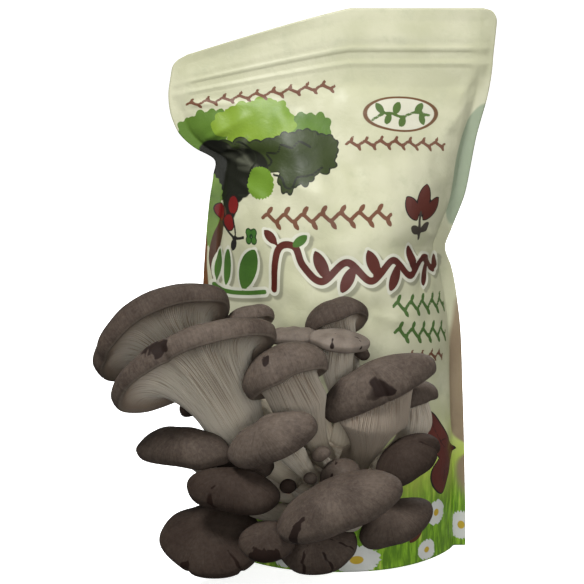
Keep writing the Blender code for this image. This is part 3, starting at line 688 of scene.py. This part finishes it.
# how far outside a smooth line of even width a point is, as the nearest of many short straight runs
def stem(points, half):
    def distance(s, h):
        knots = np.array(points, float)
        t = np.linspace(0, len(knots) - 1, 12 * len(knots))
        line = np.stack([through(t, np.arange(len(knots)), knots[:, i]) for i in (0, 1)], -1)
        best = np.full(s.shape, faraway)
        for (s0, h0), (s1, h1) in zip(line[:-1], line[1:]):
            run = np.array([s1 - s0, h1 - h0])
            k = np.clip(((s - s0) * run[0] + (h - h0) * run[1]) / (run @ run + 1e-9), 0, 1)
            best = np.minimum(best, np.hypot(s - s0 - k * run[0], h - h0 - k * run[1]))
        return best - half
    return distance


# leaves spreading from one point like the fingers of a hand
def tuft(a, z, reach, half, start, end, count):
    return [leaf(a + 0.3 * reach * np.cos(t), z + 0.3 * reach * np.sin(t), a + reach * np.cos(t),
                 z + reach * np.sin(t), half) for t in np.radians(np.linspace(start, end, count))]


# a wavy stem with a small leaf at each of its turns
def vine(a0, z0, a1, z1, waves, high, half, leafSize):
    t = np.linspace(0, 1, 4 * waves + 1)
    line = np.stack([a0 + (a1 - a0) * t, z0 + (z1 - z0) * t + high * np.sin(fullTurn * waves * t)], -1)
    marks = [stem(line, half)]
    for i in range(1, 4 * waves, 2):
        up = np.sign(np.sin(fullTurn * waves * t[i]))
        marks.append(leaf(*line[i], line[i][0] + leafSize * 0.7, line[i][1] + up * leafSize, leafSize * 0.3))
    return marks


titleVine = [
    stem([(-36, 153), (-33, 174), (-24, 176), (-19, 166), (-9, 158), (4, 168), (17, 158), (30, 168),
          (43, 159), (56, 167), (68, 160)], 1.9),
    *leaves((-34, 177, -41, 184, 2.6), (-6, 159, -13, 174, 3.4), (8, 166, 1, 152, 3.2),
            (21, 160, 15, 174, 3.4), (34, 166, 28, 152, 3.2), (47, 161, 42, 175, 3.2),
            (60, 165, 55, 152, 3.0), (68, 160, 76, 167, 2.8)),
]
greenLeaves = [
    stem([(-88, 150), (-72, 148), (-56, 149), (-42, 151)], 1.2),
    *leaves((-86, 152, -78, 171, 4.2), (-74, 151, -69, 172, 3.4), (-60, 151, -47, 173, 6.2),
            (-25, 176, -17, 182, 2.4)),
]
smallVines = [*vine(30, 144, 78, 141, 5, 2.0, 0.95, 4.2), *vine(31, 130, 76, 125, 5, 2.0, 0.95, 4.2)]
clover = [blob(-49.5 + 2.6 * np.cos(a), 180 + 3.0 * np.sin(a), 2.1, 2.4)
          for a in np.radians([45, 135, 225, 315])]
daisies = [(64, 25.5, 8.2, 7.0), (91.5, 12, 7, 8), (55.5, 6, 8.5, 5.5), (10, 7, 13, 8), (-62, 10, 8, 7),
           (-30, 6, 7, 5)]
# Inks as shown on a screen, 0 to 255. Each layer lies over those before it: ink, its darker tone if it
# has one, the edge's softness in millimetres, an outline (ink, width), and its marks, which may grow
# or shift. tint has no marks: it follows the film's right edge.
printing = {
    "band": dict(ink=(158, 140, 112), dark=(143, 124, 98), soft=3.0, marks=[blob(96, 92, 13, 62)]),
    "tint": dict(ink=(163, 176, 148), dark=(156, 170, 143), soft=0.8, marks=[]),
    "midGreen": dict(ink=(96, 130, 46), dark=(70, 104, 36), soft=0.35, marks=[
        *blobs((-83, 242, 7, 10, 10, 7, 0.26), (-74, 243, 10, 13, 0, 9, 0.24),
        (-68, 245, 8, 11, -10, 8, 0.24), (-74, 234, 13, 8, 8, 8, 0.24), (-28, 236, 8, 10, 0, 7, 0.26),
        (-19, 238, 9, 9, 0, 9, 0.24), (-11, 238, 7, 8, 0, 7, 0.26), (-20, 231, 15, 7, 0, 9, 0.24)),
        *tuft(-77, 234, 17, 4.4, 25, 160, 6), *tuft(-20, 231, 15, 3.8, 5, 175, 8)]),
    "lightGreen": dict(ink=(134, 164, 50), dark=(110, 146, 40), soft=0.35, marks=[
        *blobs((-60, 246, 9, 8, 0, 7, 0.26), (-51, 249, 10, 9, 0, 9, 0.24), (-42, 251, 8, 8, 20, 7, 0.26),
        (-34, 248, 7, 8, -25, 7, 0.26), (-46, 241, 18, 11, 0, 9, 0.24), (-36, 238, 10, 9, 0, 8, 0.24)),
        *tuft(-52, 239, 18, 4.4, 55, 165, 6), *tuft(-38, 239, 16, 3.8, 5, 110, 6)]),
    "shade": dict(ink=(58, 70, 32), dark=(42, 52, 24), soft=0.35, outline=((40, 44, 30), 0.5), marks=[
        *blobs((-64, 230, 6, 6), (-54, 231, 5.5, 6), (-46, 229, 4.5, 6, -20), (-38, 229, 6, 6),
        (-28, 230, 8, 7, 0, 9, 0.19), (-18, 231, 9, 7, 0, 11, 0.19), (-8, 228, 8, 7, 0, 9, 0.19),
        (-12, 221, 11, 8, 0, 9, 0.24), (-19, 214, 6, 7, 0, 7, 0.26), (-27, 213, 6, 10, -10, 8, 0.24),
        (-24, 222, 20, 9, 0, 9, 0.24), (-52, 222, 15, 10))]),
    "deepShade": dict(ink=(28, 30, 19), dark=(20, 22, 14), soft=1.0, marks=[
        *blobs((-70, 224, 13, 12, -30), (-80, 208, 13, 10), (-61, 209, 13, 10, 40, 11, 0.12),
        (-68, 199, 7, 12, 15), (-51, 221, 12, 8, -20))]),
    # painted sheen: pale soft streaks along the creases by the left dent, where the film catches the light
    "paintedCreaseSheen": dict(ink=(96, 98, 82), dark=(78, 80, 64), soft=4.0, marks=[
        *leaves((-70, 226, -46, 219, 1.0), (-62, 231, -42, 212, 1.1), (-56, 226, -50, 236, 0.8),
        (-60, 218, -40, 216, 0.8))]),
    "shadeLine": dict(ink=(36, 40, 27), marks=[
        stem([(-42, 217), (-37, 221), (-40, 226), (-33, 226), (-31, 230), (-25, 228), (-21, 231),
              (-15, 228)], 0.65),
        stem([(-36, 214), (-31, 212), (-29, 207), (-25, 207), (-22, 212), (-15, 213), (-9, 217)], 0.65),
        stem([(-58, 232), (-55, 234), (-50, 230), (-47, 222), (-52, 214), (-47, 210), (-53, 203),
              (-60, 202)], 0.65)]),
    "ball": dict(ink=(112, 148, 44), dark=(92, 128, 34), marks=[blob(-44.5, 209.5, 8.6, 9, 0, 30, 0.14)]),
    "edgeLeaf": dict(ink=(120, 150, 66), dark=(76, 104, 44), marks=[
        blob(-84, 203, 7.5, 14, -12, 22, 0.16), blob(-87, 184, 6.5, 13, -8, 22, 0.16)]),
    "trunk": dict(ink=(86, 58, 42), dark=(70, 48, 37), soft=0.4, marks=[
        stem([(-74, 191), (-78, 183), (-83, 174), (-85, 164), (-84, 150), (-86, 138)], 4.6)]),
    "trunkEdge": dict(ink=(120, 74, 36), dark=(98, 58, 30), soft=0.6, marks=[
        stem([(-94, 188), (-94, 172), (-95, 158), (-95, 138)], 4.0)]),
    "fruit": dict(ink=(128, 26, 24), dark=(104, 18, 18), outline=((46, 20, 18), 0.45), marks=[
        *blobs((-77.5, 191.5, 6.4, 5.2, -28), (-64, 196.5, 4.6, 5.8, 8), (-67, 186.5, 5.0, 5.0))]),
    "twig": dict(ink=(34, 32, 28), marks=[
        leaf(-62, 178, -66, 171, 2.4), stem([(-74, 187), (-68, 181), (-62, 178), (-55, 179)], 0.8),
        stem([(-64, 192), (-62, 184), (-62, 178)], 0.7)]),
    "clover": dict(ink=(74, 122, 46), dark=(54, 96, 34), outline=((30, 60, 24), 0.4), marks=clover),
    "badge": dict(ink=(222, 220, 200), dark=(216, 214, 192), outline=((112, 78, 50), 0.9), marks=[
        blob(34, 243.5, 21, 9.5, 0)]),
    "badgeLeaf": dict(ink=(92, 120, 58), dark=(80, 106, 50), marks=[
        *leaves((24, 243, 20, 249, 1.9), (30, 243, 33, 250, 2.2), (36, 242, 33, 236.5, 2.0),
        (42, 244, 46, 249.5, 2.0), (28, 243, 25, 237.5, 1.8), (45, 244, 47, 238, 1.8)),
        stem([(18, 240), (26, 243.5), (34, 242), (42, 244.5), (50, 243)], 0.7)]),
    "brownVines": dict(ink=(120, 78, 56), dark=(108, 68, 48), marks=[
        *vine(-83, 262, -2, 259.5, 9, 1.1, 0.85, 3.0), *vine(4, 229, 60, 227.5, 7, 1.0, 0.8, 2.8),
        *vine(-42, 190.5, 28, 192, 7, 1.9, 1.0, 4.4), *vine(40, 116, 72, 113, 4, 1.1, 0.8, 2.8)]),
    "sprig": dict(ink=(96, 42, 30), dark=(78, 32, 24), outline=((40, 24, 20), 0.55), marks=[
        *leaves((46, 188, 37, 201, 4.2), (48, 190, 50, 207, 5.0), (50, 188, 62, 199, 4.4))]),
    "sprigStem": dict(ink=(72, 66, 56), dark=(60, 54, 46), marks=[
        leaf(49, 182, 57, 186, 2.2), leaf(49, 181, 42, 185, 2.2),
        stem([(48, 192), (48, 186), (50, 178)], 0.9)]),
    "rightLeaf": dict(ink=(96, 42, 32), dark=(82, 35, 26), outline=((34, 24, 20), 1.0),
        marks=[leaf(54, 85, 69, 35, 13)]),
    "rightVein": dict(ink=(62, 26, 20), marks=[
        stem([(58, 80), (63, 62), (69, 42)], 0.5), stem([(62, 66), (68, 66), (73, 62)], 0.4),
        stem([(65, 56), (71, 56), (75, 52)], 0.4)]),
    "fallenLeaf": dict(ink=(86, 46, 30), dark=(72, 38, 24), marks=[leaf(42, 13, 54, 25, 4.4)]),
    "titleShadow": dict(ink=(158, 158, 132), soft=1.4, grow=1.9, shift=(1.8, -1.8),
        marks=titleVine + greenLeaves),
    "titleEdge": dict(ink=(222, 222, 202), grow=1.7, marks=titleVine + greenLeaves),
    "titleBrown": dict(ink=(92, 36, 24), dark=(80, 30, 20), marks=titleVine),
    "titleGreen": dict(ink=(76, 118, 44), dark=(62, 100, 36), marks=greenLeaves),
    "smallVines": dict(ink=(78, 112, 50), dark=(66, 98, 42), marks=smallVines),
    "petals": dict(ink=(226, 228, 222), dark=(204, 210, 200), soft=0.5,
        marks=[blob(a, z, wide, tall, 0, 26, 0.22) for a, z, wide, tall in daisies]),
    "daisyMiddle": dict(ink=(206, 176, 56), dark=(178, 144, 40), soft=0.4,
        marks=[blob(a, z, wide * 0.3, tall * 0.3) for a, z, wide, tall in daisies]),
}


# distance outside each layer's outline at every point of a film, by layer
def printValues(along, height, fromRight):
    values = {}
    for key, layer in printing.items():
        shift = layer.get("shift", (0, 0))
        off = np.full(along.shape, markReach)
        for mark in layer["marks"]:
            off = np.minimum(off, mark(along - shift[0], height - shift[1]))
        values[key] = np.clip(off - layer.get("grow", 0), -markReach, markReach)
    values["tint"] = np.clip(blobDistance(fromRight, height - 216, 11, 33, 0, 0, 0), -markReach, markReach)
    return values


# screen colour to the linear light that materials take
def shown(red, green, blue):
    c = np.array([red, green, blue]) / 255
    return tuple(float(v) for v in np.where(c > 0.04045, ((c + 0.055) / 1.055) ** 2.4, c / 12.92))


film = {
    "softness": 0.3,  # of an ink's edge, where its layer gives none
    "cream": (216, 215, 184), "creamLow": (200, 200, 166), "mottle": (188, 190, 160),
    "grassLight": (190, 208, 90), "grass": (142, 192, 48), "grassDark": (98, 140, 34), "grassTop": 0.082,
    "bright": 0.66, "specular": 0.22, "coat": 0.06, "coatRoughness": 0.25, "crinkleScale": 130.0,
    "crinkleDepth": 0.0012, "crinkleStrength": 0.3,
}


def makeFilm(name, layers):
    fin = Finish(name, (1, 1, 1), 0.4)

    def ink(key):
        return tuple(film["bright"] * v for v in shown(*key))

    where = fin.place()
    cloud = fin.noise(where, 28.0, 4.0)
    fleck = fin.noise(where, 95.0, 5.0, 0.65)
    color = fin.mix(fin.ramp(cloud, 0.35, 0.65), ink(film["creamLow"]), ink(film["cream"]))
    color = fin.mix(fin.times(fin.ramp(fleck, 0.5, 0.75), 0.5), color, ink(film["mottle"]))
    # meadow: pale green low down, then blades as noise drawn out upwards
    height = fin.node("SeparateXYZ", {"Vector": where}).outputs[2]
    tufts = fin.noise(fin.place((1, 1, 0.3)), 60.0, 4.0)
    ragged = fin.math("SUBTRACT", height, fin.times(tufts, 0.03))
    blades = fin.noise(fin.place((1, 0.4, 0.12)), 380.0, 4.0, 0.6)
    color = fin.mix(fin.ramp(ragged, film["grassTop"], 0.03), color, ink(film["grassLight"]))
    green = fin.mix(fin.ramp(blades, 0.42, 0.6), ink(film["grassDark"]), ink(film["grass"]))
    green = fin.mix(fin.ramp(blades, 0.56, 0.7), green, ink(film["grassLight"]))
    color = fin.mix(fin.ramp(ragged, 0.045, 0.01), color, green)
    for key in layers:
        layer = printing[key]
        off, soft = fin.attribute(key), layer.get("soft", film["softness"])
        tone = fin.mix(fin.ramp(cloud, 0.3, 0.6), ink(layer.get("dark", layer["ink"])), ink(layer["ink"]))
        if "outline" in layer:
            line, wide = layer["outline"]
            tone = fin.mix(fin.ramp(off, -wide - soft, -wide), tone, ink(line))
        color = fin.mix(fin.ramp(off, soft / 2, -soft / 2), color, tone)
    fin.set("Base Color", color)
    fin.set("Roughness", fin.ramp(fleck, -0.6, 1.7, "LINEAR"))
    fin.set("Specular IOR Level", film["specular"])
    fin.set("Coat Weight", film["coat"])
    fin.set("Coat Roughness", film["coatRoughness"])
    crinkle = fin.noise(where, film["crinkleScale"], 6.0, 0.6, 0.6)
    fin.bump(crinkle, film["crinkleDepth"], film["crinkleStrength"])
    return fin.material


# gives a sheet its thickness, inwards from its faces
def addWall(piece, thickness):
    wall = piece.modifiers.new("wall", "SOLIDIFY")
    wall.thickness = thickness
    wall.offset = -1.0


def makePouch():
    p = pouch
    sheet, along, height, fromRight = filmSheet(*p["front"], frontCreases, 5, -1, True)
    values = printValues(along, height, fromRight)
    off = np.hypot(sheet[..., 0] - p["hole"][0], sheet[..., 2] - p["hole"][1])
    front = gridPiece("pouch-front-film", sheet * mm, makeFilm("printedFilm", list(printing)), values=values,
                      flip=True, keep=off > p["holeRadius"])
    sheet, along, height, fromRight = filmSheet(*p["back"], backCreases, 11, 1, False)
    back = gridPiece("pouch-back-film", sheet * mm, makeFilm("plainFilm", []))
    for piece, node in ((front, "pouch_front_panel"), (back, "pouch_back_panel")):
        addWall(piece, p["thickness"] * mm)
        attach(piece, "root")
        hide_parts(node)
    print("pouch films made")
    return back.data.materials[0]


gusset = {"columns": 60, "rows": 90, "height": 0.3, "lift": 0.15, "waves": 24}


# The base between the two films: a lens whose edge follows their belly, lying nearly flat.
def makeGusset(material):
    low, high = (np.array(c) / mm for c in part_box("pouch_bottom_gusset"))
    t = np.linspace(-1, 1, gusset["rows"])[:, None]
    v = np.linspace(-1, 1, gusset["columns"])[None]
    x = (low[0] + high[0]) / 2 + (high[0] - low[0]) / 2 * np.sin(t * np.pi / 2) + 0 * v
    wide = high[1] * np.clip(1 - np.abs(np.sin(t * np.pi / 2)) ** 2.3, 0.0005, 1) ** 0.8
    y = wide * v
    lift = gusset["lift"] * (1 + ripples(np.stack([x, y], -1), gusset["waves"], 41) / 3) * (1 - v ** 6)
    points = np.stack([x, y, gusset["height"] + np.clip(lift, 0, 3 * gusset["lift"])], -1)
    piece = gridPiece("pouch-base-film", points * mm, material)
    addWall(piece, pouch["thickness"] * mm)
    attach(piece, "root")
    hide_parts("pouch_bottom_gusset")
    print("pouch base made")


straw = {
    "rows": 70, "columns": 150, "lump": 0.7, "size": 9.0, "inset": 2.6, "dark": (110, 80, 46),
    "light": (198, 170, 112), "threads": (232, 226, 208),
}


# The straw block fills the belly: rings of the films' own outline drawn in, over dome ends.
def makeStraw():
    low, high = (np.array(c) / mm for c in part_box("substrate_block"))
    angle = (np.arange(straw["columns"]) * fullTurn / straw["columns"])[None]
    t = np.linspace(0.02, 0.98, straw["rows"])[:, None]
    end = np.clip(1 - np.abs(2 * t - 1) ** 14, 0, 1) ** 0.4
    z = low[2] + 1 + (high[2] - low[2] - 2) * t + 0 * angle
    left, right, bulge = pouchSize(z)
    across = np.cos(angle)
    side = np.where(across < 0, left, right) - pouch["seal"] - 5
    x = np.clip(side * across, low[0] + 1, high[0] - 1) * end
    belly = np.clip(np.abs(x) / side, 0, 1)
    y = np.sign(np.sin(angle)) * (bulge - straw["inset"]) * (1 - belly ** 2.3) ** 0.8
    y = np.where(np.abs(np.sin(angle)) < 1e-9, 0, y) * end * np.abs(np.sin(angle)) ** 0.1
    points = np.stack([x, y, z], -1)
    points[..., :2] *= 1 - (straw["lump"] * (1 + ripples(points, straw["size"], 77)) / 45)[..., None]
    fin = Finish("strawBlock", shown(*straw["light"]), 0.85)
    where = fin.place((1, 1, 3.2))
    straws = fin.noise(where, 90.0, 6.0, 0.7, 1.5)
    threads = fin.noise(fin.place((2.5, 1, 1)), 140.0, 4.0, 0.6, 2.0)
    tone = fin.mix(fin.ramp(straws, 0.4, 0.62), shown(*straw["dark"]), shown(*straw["light"]))
    fin.set("Base Color", fin.mix(fin.ramp(threads, 0.56, 0.66), tone, shown(*straw["threads"])))
    fin.bump(straws, 0.002, 0.8)
    poles = np.array([[0, 0, low[2] + 0.6], [points[-1, :, 0].mean(), 0, high[2] - 0.4]])
    piece = gridPiece("straw-block", slump(points) * mm, fin.material, wrap=True, poles=slump(poles) * mm,
                      flip=True)
    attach(piece, "root")
    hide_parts("substrate_block")
    print("straw block made")


zipTrack = {"dark": (198, 198, 170), "light": (222, 222, 198), "roughness": 0.35, "coat": 0.2}


# the two tracks keep their own shape and get a finish drawn along them
def finishZip():
    fin = Finish("zipTrack", shown(*zipTrack["light"]), zipTrack["roughness"],
                 {"Coat Weight": zipTrack["coat"]})
    drawn = fin.noise(fin.place((0.05, 1, 1)), 900.0, 3.0)
    fin.set("Base Color", fin.mix(drawn, shown(*zipTrack["dark"]), shown(*zipTrack["light"])))
    fin.bump(drawn, 0.0003, 0.4)
    for node in ("zip_track_front", "zip_track_back"):
        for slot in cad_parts[node].material_slots:
            slot.material = fin.material
    print("zip tracks finished")


# metres, degrees, millimetres of lens and sensor, watts
view = {"place": (-0.0244, -0.85, 0.28), "downDegrees": 9.0, "lens": 95.86, "sensor": 36.0}
studio = {
    "world": (1.0, 1.0, 1.0), "worldStrength": 0.2,
    "key": {"place": (-0.6, -0.85, 1.75), "aim": (0, 0, 0.15), "size": 0.5, "watts": 42},
    "fill": {"place": (0.1, -1.9, 0.45), "aim": (0, 0, 0.12), "size": 0.9, "watts": 17},
    "side": {"place": (1.3, -0.8, 0.6), "aim": (0, 0, 0.12), "size": 0.9, "watts": 8},
    "back": {"place": (0.4, 1.3, 1.2), "aim": (0, 0, 0.15), "size": 1.0, "watts": 34},
    "floor": (0.92, 0.92, 0.92), "floorGlow": 0.75, "floorFlat": 2.2, "floorTurn": 0.8, "wall": 5.0,
}


def aimed(obj, place, aim):
    obj.location = place
    obj.rotation_euler = (Vector(aim) - Vector(place)).to_track_quat("-Z", "Y").to_euler()


def makeStudio():
    camera = bpy.data.objects.new("camera", bpy.data.cameras.new("camera"))
    camera.data.lens, camera.data.sensor_width = view["lens"], view["sensor"]
    camera.data.clip_start = 0.05
    camera.location = view["place"]
    camera.rotation_euler = (np.radians(90 - view["downDegrees"]), 0, 0)
    bpy.context.scene.collection.objects.link(camera)
    bpy.context.scene.camera = camera
    world = bpy.data.worlds.new("studio")
    world.use_nodes = True
    background = world.node_tree.nodes["Background"]
    background.inputs[0].default_value = (*studio["world"], 1)
    background.inputs[1].default_value = studio["worldStrength"]
    bpy.context.scene.world = world
    bpy.context.scene.view_settings.view_transform = "Standard"
    for name in ("key", "fill", "side", "back"):
        spec = studio[name]
        lamp = bpy.data.lights.new(name, "AREA")
        lamp.size, lamp.energy = spec["size"], spec["watts"]
        holder = bpy.data.objects.new(name, lamp)
        aimed(holder, spec["place"], spec["aim"])
        bpy.context.scene.collection.objects.link(holder)
    # round floor that sweeps up into a backdrop on all sides: flat, then a quarter turn, then upright
    sweep = np.radians(np.linspace(0, 90, 24))
    flat, turn = studio["floorFlat"], studio["floorTurn"]
    far = np.concatenate([[0.01, 1.0], flat + turn * np.sin(sweep), [flat + turn]])[:, None]
    rise = np.concatenate([[0, 0], turn - turn * np.cos(sweep), [studio["wall"]]])[:, None]
    angle = (np.arange(96) * fullTurn / 96)[None]
    points = np.stack([far * np.cos(angle), far * np.sin(angle), rise + 0 * angle], -1)
    fin = Finish("studioFloor", studio["floor"], 0.8, {
        "Specular IOR Level": 0.2, "Emission Color": (1, 1, 1), "Emission Strength": studio["floorGlow"]})
    floor = gridPiece("studio-floor", points, fin.material, wrap=True, flip=True)
    floor.visible_diffuse = floor.visible_glossy = floor.visible_shadow = False
    print("studio set")


makeStudio()
makeMushrooms(makeFlesh())
makeFoot(makeFootFlesh())
makeGusset(makePouch())
makeStraw()
finishZip()
